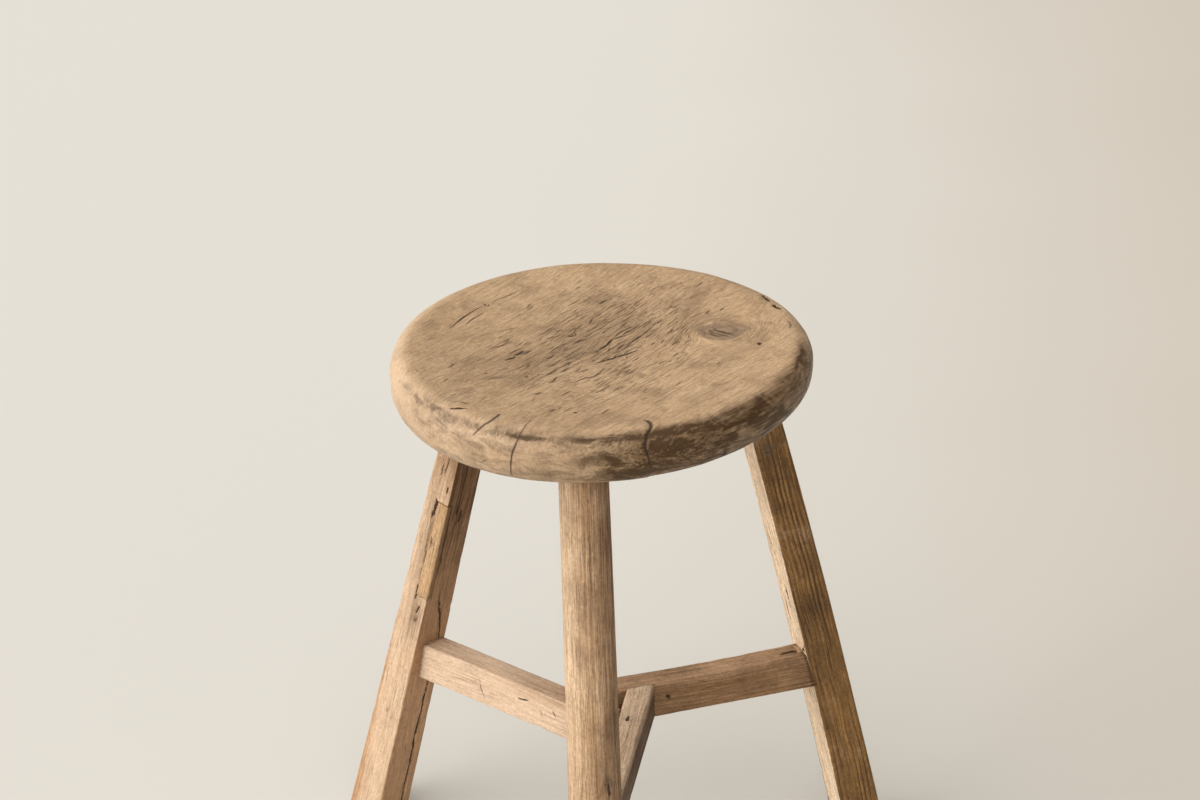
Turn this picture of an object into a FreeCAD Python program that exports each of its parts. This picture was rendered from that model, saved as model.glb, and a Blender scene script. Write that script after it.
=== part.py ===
"""Three-legged wooden milking stool: dished round seat, two squared legs and one round leg,
and three rails that lock into each other in a pinwheel. Millimetres, +Z up, floor at Z = 0."""
import FreeCAD
import Part
import math
import os

Vector = FreeCAD.Vector

# ---- driving dimensions -------------------------------------------------------------------
STOOL_HEIGHT = 500.0      # floor to the crest of the seat's rim
SEAT_DIAMETER = 320.0
SEAT_THICKNESS = 41.5     # rim crest to underside, on the seat's axis
SEAT_WEDGE_TILT = 1.15    # degrees that the underside slopes against the top
SEAT_WEDGE_AZIMUTH = -152.0   # the way the underside runs downhill
RIM_TOP_RADIUS = 16.0     # round-over from the top to the side
RIM_BOTTOM_RADIUS = 20.0
DISH_DEPTH = 7.0
DISH_RADIUS = 140.0       # the dish reaches the rim's crest here
SEAT_GRAIN_AZIMUTH = 55.0     # the way the seat's grain runs

LEG_EDGE_RADIUS = 1.5     # worn arrises
RAIL_EDGE_RADIUS = 1.5
SMALL_RADIUS = 1.0        # stands in for a round-over that is cut away later
SPARE = 12.0              # how far a blank runs on past the face that trims it
RAIL_SPARE = 60.0         # the same across a leg or a rail: more than either is thick

LEG_TENON_DEPTH = 27.0    # into the seat, straight up
LEG_TENON_SHARE = 0.62    # tenon width as a share of the leg's width at the seat
MORTISE_END_GAP = 1.0     # air past the end of each blind tenon

FOX_WEDGE_LENGTH = 20.0   # hidden wedge that spreads a leg tenon in its blind mortise
FOX_WEDGE_THICK = 4.0
FOX_WEDGE_THIN = 1.2

RAIL_TENON_THICKNESS = 10.0
RAIL_TENON_BOTTOM_SHOULDER = 6.0
RAIL_TENON_IN_LEG = 7.0   # past the leg's centre line
STUB_TENON_DEPTH = 11.0   # of a rail into its neighbour, square to the neighbour's side
STUB_TENON_SHOULDER = 7.0     # above and below a stub tenon

SHIM_LENGTH = 21.0        # slip of wood that tightens a rail tenon in its leg
SHIM_OUTSIDE = 3.0        # how much of it is left standing out of the leg
SHIM_THICK = 2.4
SHIM_THIN = 0.8

PATCH_TOP = 329.0         # height of the repair strip's upper end on the left leg's front arris
PATCH_LENGTH = 90.0
PATCH_ON_SIDE = 7.0       # widths of the strip on the leg's two faces
PATCH_ON_FRONT = 18.0
PATCH_BACK_SHARE = 0.35   # the strip thins to this share of those widths at its back

# Each leg's centre line, in polar places about the seat's axis, at the seat and at the floor.
# A squared leg has a width along `turn` and a depth across it, at the seat and at the floor.
LEGS = {
    "left_leg": dict(top=(113.6, 147.5), foot=(241.6, 152.8), turn=44.6,
                     width=(26.0, 35.0), depth=(24.5, 38.5)),
    "right_leg": dict(top=(118.2, 25.7), foot=(225.5, 28.0), turn=24.6,
                      width=(28.0, 35.0), depth=(28.5, 33.0)),
    "front_leg": dict(top=(114.8, -92.7), foot=(235.3, -89.1), turn=SEAT_GRAIN_AZIMUTH,
                      diameter=(36.5, 41.5)),
}

# Each rail runs inwards from its leg along `heading`, and its centre line passes `aside` of
# the seat's axis, to the left of the heading. Its inner end stops at the rail `meets`.
RAIL_TOP = 187.0
RAILS = {
    "left_rail": dict(leg="left_leg", meets="front_rail", heading=-35.0, aside=-20.9,
                      width=20.6, height=34.0),
    "right_rail": dict(leg="right_leg", meets="left_rail", heading=200.5, aside=-16.0,
                       width=20.7, height=32.5),
    "front_rail": dict(leg="front_leg", meets="right_rail", heading=83.6, aside=-20.8,
                       width=20.5, height=33.0),
}

UNDERSIDE = STOOL_HEIGHT - SEAT_THICKNESS     # height of the seat's underside on its axis
LARGE = 3 * SEAT_DIAMETER     # side of the blocks that trim by a plane


# ---- small helpers ------------------------------------------------------------------------
def polar(radius, azimuth, z=0.0):
    angle = math.radians(azimuth)
    return Vector(radius * math.cos(angle), radius * math.sin(angle), z)


def direction(azimuth):
    return polar(1.0, azimuth)


def polygon_wire(points):
    return Part.makePolygon(points + points[:1])


def frustum(low, high):
    """Flat-sided solid between two anticlockwise polygons with matching corners."""
    faces = [Part.Face(polygon_wire(low[::-1])), Part.Face(polygon_wire(high))]
    for corner in range(len(low)):
        after = (corner + 1) % len(low)
        side = [low[corner], low[after], high[after], high[corner]]
        faces.append(Part.Face(polygon_wire(side)))
    shell = Part.Shell(faces)
    shell.sewShape()
    solid = Part.Solid(Part.Shell(shell.Faces))
    return solid if solid.Volume > 0 else solid.reversed()


def largest_solid(shape):
    return max(shape.Solids, key=lambda solid: solid.Volume)


def rectangle(centre, turn, width, depth):
    along = direction(turn) * (width / 2)
    across = direction(turn + 90) * (depth / 2)
    return [centre - along - across, centre + along - across,
            centre + along + across, centre - along + across]


def round_long_edges(solid, radius, axis, least_length):
    """Fillets the edges that run the length of a bar."""
    edges = []
    for edge in solid.Edges:
        run = edge.valueAt(edge.LastParameter) - edge.valueAt(edge.FirstParameter)
        if run.Length > least_length and abs(run.normalize().dot(axis)) > 0.95:
            edges.append(edge)
    return solid.makeFillet(radius, edges)


# ---- seat ---------------------------------------------------------------------------------
def below_underside():
    """Everything under the plane of the seat's underside, as one large block."""
    block = Part.makeBox(LARGE, LARGE, LARGE, Vector(-LARGE / 2, -LARGE / 2, -LARGE))
    downhill_axis = direction(SEAT_WEDGE_AZIMUTH + 90)
    block.rotate(Vector(), downhill_axis, SEAT_WEDGE_TILT)
    block.translate(Vector(0, 0, UNDERSIDE))
    return block


def rounded_disc(z_low, z_high, radius_low, radius_high, dish):
    """A disc on the Z axis with round-overs at its lower and upper edges and a dished top."""
    radius = SEAT_DIAMETER / 2
    short = 1 - math.sqrt(0.5)
    sphere = (DISH_RADIUS ** 2 + dish ** 2) / (2 * dish)
    middle = DISH_RADIUS / 2
    middle_rise = sphere - math.sqrt(sphere ** 2 - middle ** 2)

    centre_low = Vector(0, 0, z_low)
    centre_top = Vector(0, 0, z_high - dish)
    on_dish = Vector(middle, 0, z_high - dish + middle_rise)
    crest_in = Vector(DISH_RADIUS, 0, z_high)
    crest_out = Vector(radius - radius_high, 0, z_high)
    on_top_round = Vector(radius - radius_high * short, 0, z_high - radius_high * short)
    side_top = Vector(radius, 0, z_high - radius_high)
    side_low = Vector(radius, 0, z_low + radius_low)
    on_low_round = Vector(radius - radius_low * short, 0, z_low + radius_low * short)
    bottom_out = Vector(radius - radius_low, 0, z_low)
    outline = Part.Wire([
        Part.LineSegment(centre_low, centre_top).toShape(),
        Part.Arc(centre_top, on_dish, crest_in).toShape(),
        Part.LineSegment(crest_in, crest_out).toShape(),
        Part.Arc(crest_out, on_top_round, side_top).toShape(),
        Part.LineSegment(side_top, side_low).toShape(),
        Part.Arc(side_low, on_low_round, bottom_out).toShape(),
        Part.LineSegment(bottom_out, centre_low).toShape(),
    ])
    return Part.Face(outline).revolve(Vector(), Vector(0, 0, 1), 360)


def seat_blank():
    """The seat before its mortises: a level dished top over a slightly sloping underside."""
    top_half = rounded_disc(UNDERSIDE - 3 * SPARE, STOOL_HEIGHT, SMALL_RADIUS, RIM_TOP_RADIUS,
                            DISH_DEPTH)
    low_half = rounded_disc(0.0, SEAT_THICKNESS + 3 * SPARE, RIM_BOTTOM_RADIUS, SMALL_RADIUS,
                            SMALL_RADIUS)
    low_half.rotate(Vector(), direction(SEAT_WEDGE_AZIMUTH + 90), SEAT_WEDGE_TILT)
    low_half.translate(Vector(0, 0, UNDERSIDE))
    return top_half.common(low_half)


# ---- legs ---------------------------------------------------------------------------------
def is_round(leg):
    return "diameter" in leg


def leg_centre(leg, z):
    """The centre of a leg's horizontal section at height z."""
    top = polar(*leg["top"], UNDERSIDE)
    foot = polar(*leg["foot"], 0.0)
    return foot + (top - foot) * (z / UNDERSIDE)


def tapered(sizes, z):
    """A width given at the seat and at the floor, at height z."""
    at_seat, at_floor = sizes
    return at_floor + (at_seat - at_floor) * z / UNDERSIDE


def leg_section(leg, z):
    """The corners of a squared leg's horizontal section at height z."""
    centre = leg_centre(leg, z)
    return rectangle(centre, leg["turn"], tapered(leg["width"], z), tapered(leg["depth"], z))


def leg_cone(leg, z_low, z_high, share=1.0):
    """A round leg's taper between two heights on its centre line, square to that line."""
    start, end = leg_centre(leg, z_low), leg_centre(leg, z_high)
    radii = [share * tapered(leg["diameter"], z) / 2 for z in (z_low, z_high)]
    return Part.makeCone(radii[0], radii[1], (end - start).Length, start, end - start)


def leg_axis(leg):
    return (leg_centre(leg, UNDERSIDE) - leg_centre(leg, 0.0)).normalize()


def leg_shaft(leg):
    """The leg from the floor to its shoulder under the seat."""
    z_low, z_high = -SPARE, UNDERSIDE + SPARE
    if is_round(leg):
        shaft = leg_cone(leg, z_low, z_high)
    else:
        shaft = frustum(leg_section(leg, z_low), leg_section(leg, z_high))
        shaft = round_long_edges(shaft, LEG_EDGE_RADIUS, leg_axis(leg), UNDERSIDE / 2)
    above_floor = Part.makeBox(LARGE, LARGE, LARGE, Vector(-LARGE / 2, -LARGE / 2, 0))
    return shaft.common(above_floor).common(below_underside())


def leg_tenon(leg, z_end):
    """The tenon, from inside the leg up to z_end in the seat, square to the centre line."""
    z_start = UNDERSIDE - SPARE
    start, end = leg_centre(leg, z_start), leg_centre(leg, z_end)
    if is_round(leg):
        radius = LEG_TENON_SHARE * leg["diameter"][0] / 2
        return Part.makeCylinder(radius, (end - start).Length, start, end - start)
    width = LEG_TENON_SHARE * leg["width"][0]
    depth = LEG_TENON_SHARE * leg["depth"][0]
    return frustum(rectangle(start, leg["turn"], width, depth),
                   rectangle(end, leg["turn"], width, depth))


def fox_wedge(leg):
    """A wedge across the tenon, its thick end against the end of the blind mortise."""
    z_thick = UNDERSIDE + LEG_TENON_DEPTH + MORTISE_END_GAP
    z_thin = z_thick - FOX_WEDGE_LENGTH
    across = SEAT_THICKNESS
    blade = frustum(rectangle(leg_centre(leg, z_thin), leg["turn"], FOX_WEDGE_THIN, across),
                    rectangle(leg_centre(leg, z_thick), leg["turn"], FOX_WEDGE_THICK, across))
    return blade.common(leg_tenon(leg, z_thick))


def leg_patch(leg):
    """The strip let into the arris that faces forwards, seen on both faces beside it."""
    side_way, front_way = direction(leg["turn"]), direction(leg["turn"] + 90)
    side, front = side_way * PATCH_ON_SIDE, front_way * PATCH_ON_FRONT
    outlines = []
    for z in (PATCH_TOP - PATCH_LENGTH, PATCH_TOP):
        arris = leg_section(leg, z)[0]
        outlines.append([arris - (side_way + front_way) * SPARE,
                         arris + side - front_way * SPARE,
                         arris + side + front * PATCH_BACK_SHARE,
                         arris + side * PATCH_BACK_SHARE + front,
                         arris + front - side_way * SPARE])
    return frustum(*outlines).common(leg_shaft(leg))


# ---- rails --------------------------------------------------------------------------------
def rail_place(rail, along, z):
    """The point on a rail's centre line at a distance along its heading."""
    heading = direction(rail["heading"])
    left = direction(rail["heading"] + 90)
    return heading * along + left * rail["aside"] + Vector(0, 0, z)


def rail_bar(rail, start, end, width, z_low, z_high):
    """A straight bar on the rail's centre line."""
    left = direction(rail["heading"] + 90) * (width / 2)
    near, far = rail_place(rail, start, z_low), rail_place(rail, end, z_low)
    base = Part.Face(polygon_wire([near - left, far - left, far + left, near + left]))
    return base.extrude(Vector(0, 0, z_high - z_low))


def distance_to_leg(rail):
    """Where a rail's heading passes its leg's centre, at mid rail height."""
    centre = leg_centre(LEGS[rail["leg"]], RAIL_TOP - rail["height"] / 2)
    return centre.dot(direction(rail["heading"]))


def distance_to_neighbour(rail):
    """Where a rail's centre line reaches the near side of the rail that it meets, and the
    sine of the angle between the two."""
    other = RAILS[rail["meets"]]
    heading = direction(rail["heading"])
    side_normal = direction(other["heading"] + 90)
    middle = rail_place(rail, 0.0, 0.0)
    rate = heading.dot(side_normal)
    near_side = other["aside"] - math.copysign(other["width"] / 2, rate)
    return (near_side - middle.dot(side_normal)) / rate, abs(rate)


def rail_outline(rail, lengthen=0.0):
    """The rail's full-width bar, from its leg's centre to just past its neighbour's side."""
    to_neighbour, _ = distance_to_neighbour(rail)
    bar = rail_bar(rail, distance_to_leg(rail), to_neighbour + lengthen, rail["width"],
                   RAIL_TOP - rail["height"], RAIL_TOP)
    return round_long_edges(bar, RAIL_EDGE_RADIUS, direction(rail["heading"]),
                            2 * rail["height"])


def outer_tenon(rail):
    """The tenon in the leg: flush with the rail's top, shouldered below."""
    start = distance_to_leg(rail) - RAIL_TENON_IN_LEG
    return rail_bar(rail, start, distance_to_leg(rail) + RAIL_SPARE, RAIL_TENON_THICKNESS,
                    RAIL_TOP - rail["height"] + RAIL_TENON_BOTTOM_SHOULDER,
                    RAIL_TOP - RAIL_EDGE_RADIUS)


def stub_tenon(rail):
    """The short tenon in the neighbouring rail."""
    to_neighbour, sine = distance_to_neighbour(rail)
    return rail_bar(rail, to_neighbour - SPARE, to_neighbour + STUB_TENON_DEPTH / sine,
                    RAIL_TENON_THICKNESS, RAIL_TOP - rail["height"] + STUB_TENON_SHOULDER,
                    RAIL_TOP - STUB_TENON_SHOULDER)


def neighbour_half_space(rail):
    """A block that fills the neighbouring rail's side of their shared shoulder."""
    other = RAILS[rail["meets"]]
    rate = direction(rail["heading"]).dot(direction(other["heading"] + 90))
    shift = math.copysign((RAIL_SPARE - other["width"]) / 2, rate)
    wide = dict(other, aside=other["aside"] + shift)
    return rail_bar(wide, -SEAT_DIAMETER, SEAT_DIAMETER, RAIL_SPARE, RAIL_TOP - RAIL_SPARE,
                    RAIL_TOP + SPARE)


def rail_shim(rail, shafts):
    """The slip driven in above the tenon, thin end first, with its thick end left proud."""
    z_seat = RAIL_TOP - RAIL_EDGE_RADIUS
    inner = rail_place(rail, distance_to_leg(rail), z_seat)
    outer = rail_place(rail, distance_to_leg(rail) + RAIL_SPARE, z_seat)
    in_leg = Part.LineSegment(inner, outer).toShape().common(shafts[rail["leg"]])
    thick_end = distance_to_leg(rail) + in_leg.Length + SHIM_OUTSIDE
    thin_end = thick_end - SHIM_LENGTH
    half = direction(rail["heading"] + 90) * (RAIL_TENON_THICKNESS / 2)
    profile = [rail_place(rail, thin_end, z_seat), rail_place(rail, thick_end, z_seat),
               rail_place(rail, thick_end, z_seat + SHIM_THICK),
               rail_place(rail, thin_end, z_seat + SHIM_THIN)]
    side = Part.Face(polygon_wire([point - half for point in profile]))
    return side.extrude(half * 2)


# ---- assembly -----------------------------------------------------------------------------
def build():
    nodes = {}
    shafts = {name: leg_shaft(leg) for name, leg in LEGS.items()}
    seat = seat_blank()
    mortise_end = UNDERSIDE + LEG_TENON_DEPTH
    for name, leg in LEGS.items():
        wedge = fox_wedge(leg)
        seat = seat.cut(leg_tenon(leg, mortise_end + MORTISE_END_GAP))
        nodes[name] = shafts[name].fuse(leg_tenon(leg, mortise_end)).cut(wedge)
        nodes[name + "_wedge"] = wedge
    nodes["seat"] = seat

    patch = leg_patch(LEGS["left_leg"])
    nodes["left_leg"] = nodes["left_leg"].cut(patch)
    nodes["left_leg_patch"] = patch

    for name, rail in RAILS.items():
        body = rail_outline(rail, lengthen=rail["width"]).cut(neighbour_half_space(rail))
        body = largest_solid(body.cut(shafts[rail["leg"]]))
        tenon = outer_tenon(rail).common(shafts[rail["leg"]])
        shim = rail_shim(rail, shafts)
        end_gap = rail_bar(rail, distance_to_leg(rail) - RAIL_TENON_IN_LEG - MORTISE_END_GAP,
                           distance_to_leg(rail), RAIL_TENON_THICKNESS,
                           RAIL_TOP - rail["height"] + RAIL_TENON_BOTTOM_SHOULDER,
                           RAIL_TOP - RAIL_EDGE_RADIUS)
        nodes[rail["leg"]] = nodes[rail["leg"]].cut(tenon.fuse(end_gap)).cut(shim)
        nodes[name] = body.fuse(tenon).fuse(stub_tenon(rail)).cut(shim)
        nodes[name + "_shim"] = shim
    for name, rail in RAILS.items():
        stub = stub_tenon(rail).common(rail_outline(RAILS[rail["meets"]], lengthen=0.0))
        nodes[rail["meets"]] = nodes[rail["meets"]].cut(stub)
    return nodes


def centre_on_footprint(nodes):
    """Moves everything so that the origin is the middle of the bounding box, on the floor."""
    whole = FreeCAD.BoundBox()
    for shape in nodes.values():
        whole.add(shape.optimalBoundingBox(False))
    for shape in nodes.values():
        shape.translate(Vector(-whole.Center.x, -whole.Center.y, -whole.ZMin))
    return whole


def main():
    os.makedirs("parts", exist_ok=True)
    nodes = {name: shape.removeSplitter() for name, shape in build().items()}
    whole = centre_on_footprint(nodes)
    print("seat axis at", round(-whole.Center.x, 2), round(-whole.Center.y, 2),
          "size", round(whole.XLength, 1), round(whole.YLength, 1), round(whole.ZLength, 1))
    for name, shape in sorted(nodes.items()):
        print(f"{name:20s} solids {len(shape.Solids)} valid {shape.isValid()} "
              f"volume {shape.Volume / 1000:.2f} cm3")
        shape.exportStep(f"parts/{name}.step")


main()
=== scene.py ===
"""Looks of the three-legged wooden milking stool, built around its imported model."""
import math

import bpy
import numpy as np
from mathutils import Matrix, Vector


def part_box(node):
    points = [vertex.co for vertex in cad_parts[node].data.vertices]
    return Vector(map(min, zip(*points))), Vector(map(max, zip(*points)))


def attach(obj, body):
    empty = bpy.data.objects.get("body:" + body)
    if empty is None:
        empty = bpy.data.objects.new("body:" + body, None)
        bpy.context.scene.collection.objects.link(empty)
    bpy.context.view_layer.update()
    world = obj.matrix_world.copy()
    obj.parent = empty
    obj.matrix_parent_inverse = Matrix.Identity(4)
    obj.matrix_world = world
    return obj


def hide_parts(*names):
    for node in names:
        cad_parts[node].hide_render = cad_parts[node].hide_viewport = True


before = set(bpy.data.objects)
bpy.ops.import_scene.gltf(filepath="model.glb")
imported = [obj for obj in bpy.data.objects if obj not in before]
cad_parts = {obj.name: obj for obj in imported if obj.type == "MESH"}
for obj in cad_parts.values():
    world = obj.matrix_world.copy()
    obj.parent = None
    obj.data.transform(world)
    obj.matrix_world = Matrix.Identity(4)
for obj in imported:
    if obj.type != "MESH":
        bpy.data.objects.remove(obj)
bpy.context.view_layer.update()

MM = 0.001                # shapes are worked out in millimetres

# ---- sizes and directions of the old wood ----
RIM_TOP_RADIUS = 16.0
RIM_LOW_RADIUS = 20.0
SEAT_THICKNESS = 41.5
SEAT_TILT = 1.15          # slope of the underside, in degrees, running down towards the azimuth
SEAT_TILT_AZIMUTH = -152.0
DISH_DEPTH = 7.0
GRAIN_AZIMUTH = 55.0      # of the seat's board
OUT_OF_ROUND = 1.2
NO_KNOT = 9.0             # distance from a knot, in its radii, where it shows no more
OCTAVE_SHIFT = 7.3        # keeps the octaves of the noise from lining up
KNOT = (74.0, -60.0, 16.5)    # along and across the seat's grain, and its radius

LEG_TURN = {"left_leg": 44.6, "right_leg": 24.6, "front_leg": 0.0}
LEG_BOW = {"left_leg": 0.0, "right_leg": 2.4, "front_leg": 0.6}
BOW_WAY = (1.0, 0.08)     # the legs bow to the photo's right
LEG_LENGTH = 460          # about, for the bow
LEG_INTO_SEAT = 4.0
RAIL_HEADING = {"left_rail": -35.0, "right_rail": 200.5, "front_rail": 83.6}
RAIL_LEG = {"left_rail": "left_leg", "right_rail": "right_leg", "front_rail": "front_leg"}
RAIL_MEETS = {"left_rail": "front_rail", "right_rail": "left_rail", "front_rail": "right_rail"}
OUTWARD_SIGN = {"left_rail": -1, "right_rail": 1, "front_rail": 1}    # the side that looks out
PATCH_HEIGHTS = (236.0, 327.0)
PATCH_ON_FRONT = 17.5
PATCH_ON_SIDE = 5.0
PATCH_REBATE = 3.0        # depth of its bed in the leg
PATCH_THICKNESS = 4.2
PATCH_PROUD = 0.25
PATCH_EDGE = 0.6          # half width of the slope at the bed's edges


# ---- noise ----
def stack(*parts):
    """Arrays of coordinates joined into one array of points; plain numbers fill in."""
    return np.stack(np.broadcast_arrays(*parts), -1)


def lattice(cells, seed):
    """A fixed pseudo-random number from -1 to 1 for each whole-number cell."""
    mixed = (cells[..., 0] * 73856093) ^ (cells[..., 1] * 19349663) ^ (cells[..., 2] * 83492791)
    mixed = (mixed ^ (seed * 2654435761)) & 0xFFFFFFFF
    mixed = ((mixed ^ (mixed >> 15)) * 2246822519) & 0xFFFFFFFF
    mixed = ((mixed ^ (mixed >> 13)) * 3266489917) & 0xFFFFFFFF
    return (mixed ^ (mixed >> 16)) / 2147483647.5 - 1.0


def noise(x, y, z, seed):
    """Smooth value noise from -1 to 1 at arrays of coordinates."""
    points = stack(x, y, z)
    base = np.floor(points).astype(np.int64)
    part = points - base
    part = part * part * (3 - 2 * part)
    total = np.zeros(points.shape[:-1])
    for corner in np.ndindex(2, 2, 2):
        weight = np.ones(points.shape[:-1])
        for axis in range(3):
            share = part[..., axis]
            weight = weight * (share if corner[axis] else 1 - share)
        total = total + weight * lattice(base + np.array(corner), seed)
    return total


def layered(x, y, z, seed):
    """Three octaves of noise, each finer and fainter than the last."""
    total = 0
    for octave in range(3):
        finer = [2.0 ** octave * axis + OCTAVE_SHIFT * octave for axis in (x, y, z)]
        total = total + noise(*finer, seed + octave) / 2 ** octave
    return total / 1.5


def smooth(edge_low, edge_high, value):
    share = np.clip((value - edge_low) / (edge_high - edge_low), 0, 1)
    return share * share * (3 - 2 * share)


def bump_at(along, around, centre, reach):
    """A soft spot of height 1 on a surface, with its half sizes along and around."""
    return np.exp(-((along - centre[0]) / reach[0]) ** 2 - ((around - centre[1]) / reach[1]) ** 2)


FAR = 9.0                 # stands for no crack near, in mm


class Cracks:
    """For each point of a surface, its nearest crack: the signed distance to the crack's
    middle, the crack's half width there, and how far the crack sinks the surface."""

    def __init__(self, along, around):
        self.along, self.around = along, around
        self.gap = np.full(along.shape, FAR)
        self.signed = np.full(along.shape, FAR)
        self.half = np.zeros(along.shape)
        self.depth = np.zeros(along.shape)

    def add(self, route, half, deep, where=None):
        near = np.ones(self.along.shape, bool) if where is None else where
        ends = np.array(route)
        for axis, limits in ((self.along, ends[:, 0]), (self.around, ends[:, 1])):
            near = near & (axis > limits.min() - FAR) & (axis < limits.max() + FAR)
        if not near.any():
            return
        along, around = self.along[near], self.around[near]
        gap, signed, place = 0 * along + FAR, 0 * along + FAR, 0 * along
        lengths = [math.dist(a, b) for a, b in zip(route, route[1:])]
        gone = 0.0
        for start, end, length in zip(route, route[1:], lengths):
            run = ((end[0] - start[0]) / length, (end[1] - start[1]) / length)
            off = (along - start[0], around - start[1])
            share = np.clip(off[0] * run[0] + off[1] * run[1], 0, length)
            away = np.hypot(off[0] - share * run[0], off[1] - share * run[1])
            closer = away < gap
            side = np.sign(run[0] * off[1] - run[1] * off[0])
            gap = np.where(closer, away, gap)
            signed = np.where(closer, away * side, signed)
            place = np.where(closer, (gone + share) / sum(lengths), place)
            gone += length
        local = half * np.sqrt(np.clip(4 * place * (1 - place), 0, 1))
        sink = deep * np.clip(1.15 - gap / (local + 0.5), 0, 1) * smooth(0.35, 0.7, local)
        self.depth[near] = np.maximum(self.depth[near], sink)
        closer = gap < self.gap[near]
        for store, found in ((self.gap, gap), (self.signed, signed), (self.half, local)):
            store[near] = np.where(closer, found, store[near])

    def field(self):
        """What the material reads: signed distance, half width and plain distance."""
        return stack(np.clip(self.signed, -5, 5), self.half, np.clip(self.gap, 0, 5))


# ---- meshes ----
def loop_normals(grid):
    """Outward normals of rows of closed loops of points."""
    around = np.roll(grid, -1, 1) - np.roll(grid, 1, 1)
    along = np.gradient(grid, axis=0)
    normal = np.cross(around, along)
    normal = normal / np.maximum(np.linalg.norm(normal, axis=-1, keepdims=True), 1e-9)
    middle = grid.mean((0, 1))
    outward = np.sign(((grid - middle) * normal).sum())
    return normal * outward


def tube(name, grid, fields):
    """A closed tube through rows of loops of points, with a fan over each end."""
    rows, cols, _ = grid.shape
    count = rows * cols
    ends = np.stack([grid[0].mean(0), grid[-1].mean(0)])
    points = np.concatenate([grid.reshape(-1, 3), ends]) * MM
    row = np.arange(rows - 1)[:, None] * cols
    col = np.arange(cols)[None, :]
    after = (col + 1) % cols
    quads = stack(row + col, row + after, row + cols + after, row + cols + col)
    quads = quads.reshape(-1, 4)
    last = (rows - 1) * cols
    first_fan = stack(after[0], col[0], count)
    last_fan = stack(last + col[0], last + after[0], count + 1)
    faces = [quads, first_fan, last_fan]
    split = np.concatenate([quads[:, [0, 1, 2]], quads[:, [0, 2, 3]], first_fan, last_fan])
    volume = np.einsum("ij,ij->", points[split[:, 0]],
                       np.cross(points[split[:, 1]], points[split[:, 2]]))
    if volume < 0:
        faces = [part[:, ::-1] for part in faces]
    mesh = bpy.data.meshes.new(name)
    mesh.from_pydata(points.tolist(), [], [face for part in faces for face in part.tolist()])
    mesh.polygons.foreach_set("use_smooth", np.ones(len(mesh.polygons), bool))
    for field, values in fields.items():
        wide = values.ndim == 3
        flat = values.reshape(-1, 3) if wide else values.reshape(-1)
        tips = np.stack([values[0].mean(0), values[-1].mean(0)])
        flat = np.concatenate([flat, tips]).astype(np.float32)
        layer = mesh.attributes.new(field, "FLOAT_VECTOR" if wide else "FLOAT", "POINT")
        layer.data.foreach_set("vector" if wide else "value", flat.ravel())
    mesh.update()
    piece = bpy.data.objects.new(name, mesh)
    bpy.context.scene.collection.objects.link(piece)
    return piece


def wood_fields(grain_place, cracks, shade, pale, knot=NO_KNOT):
    """What the wood material reads at each point of a surface."""
    fields = {"shade": shade, "pale": pale, "knot": knot, "worn": 1.0}
    shape = grain_place.shape[:-1]
    fields = {name: np.broadcast_to(values, shape) for name, values in fields.items()}
    return fields | {"grain": grain_place, "crack": cracks.field()}


def finish_piece(piece, node, slot):
    """Gives a piece its material and hands it over for the CAD node that it stands for."""
    piece.data.materials.append(MATERIALS[slot])
    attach(piece, "root")
    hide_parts(node)


def corners_mm(node):
    low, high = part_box(node)
    return np.array(low) / MM, np.array(high) / MM


def node_points(node):
    return np.array([vertex.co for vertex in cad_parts[node].data.vertices]) / MM


def unit(azimuth):
    return np.array([math.cos(math.radians(azimuth)), math.sin(math.radians(azimuth))])


def towards(x, y, azimuth):
    """How far points lie in a direction, given in degrees."""
    way = unit(azimuth)
    return x * way[0] + y * way[1]


def relief(x, y, z, seed, layers):
    """Height of layered noises, each given by its three grain sizes and its strength."""
    return sum(strength * layered(x / size[0], y / size[1], z / size[2], seed + number)
               for number, (size, strength) in enumerate(layers))


def stains(along, around, spots):
    """Darkness of soft spots, each given by its strength, place and half sizes."""
    return sum(strength * bump_at(along, around, place, reach) for strength, place, reach in spots)


# ---- seat ----
SEAT_LOW, SEAT_HIGH = corners_mm("seat")
SEAT_CENTRE = (SEAT_LOW + SEAT_HIGH)[:2] / 2
SEAT_TOP = SEAT_HIGH[2]
SEAT_RADIUS = (SEAT_HIGH[0] - SEAT_LOW[0]) / 2


def seat_profile(angle):
    """Distance from the axis and height above the crest, for rows from the top's middle to
    the underside's middle."""
    edge = SEAT_RADIUS - 0.8 + OUT_OF_ROUND * np.cos(3 * (angle - math.radians(8)))
    slope = math.tan(math.radians(SEAT_TILT))
    fall = np.cos(angle - math.radians(SEAT_TILT_AZIMUTH))

    def underside(reach):
        return -SEAT_THICKNESS - slope * fall * reach

    reach_rows, height_rows = [], []

    def add(reach, height):
        reach_rows.append(reach + 0 * angle)
        height_rows.append(height + 0 * angle)

    crest = edge - RIM_TOP_RADIUS
    for share in np.linspace(0.004, 1, 96):
        bowl = (1 - share ** 2) * (0.6 + 0.4 * smooth(1.0, 0.93, share))
        add(share * crest, -DISH_DEPTH * bowl)
    for turn in np.linspace(0, math.pi / 2, 19)[1:]:
        add(crest + RIM_TOP_RADIUS * math.sin(turn), RIM_TOP_RADIUS * (math.cos(turn) - 1))
    low = underside(edge - RIM_LOW_RADIUS) + RIM_LOW_RADIUS
    for share in np.linspace(0, 1, 6)[1:]:
        add(edge, -RIM_TOP_RADIUS + share * (low + RIM_TOP_RADIUS))
    for turn in np.linspace(0, math.pi / 2, 19)[1:]:
        add(edge - RIM_LOW_RADIUS * (1 - math.cos(turn)), low - RIM_LOW_RADIUS * math.sin(turn))
    for share in np.linspace(1, 0.01, 14)[1:]:
        reach = share * (edge - RIM_LOW_RADIUS)
        add(reach, underside(reach))
    return np.array(reach_rows), np.array(height_rows)


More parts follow.
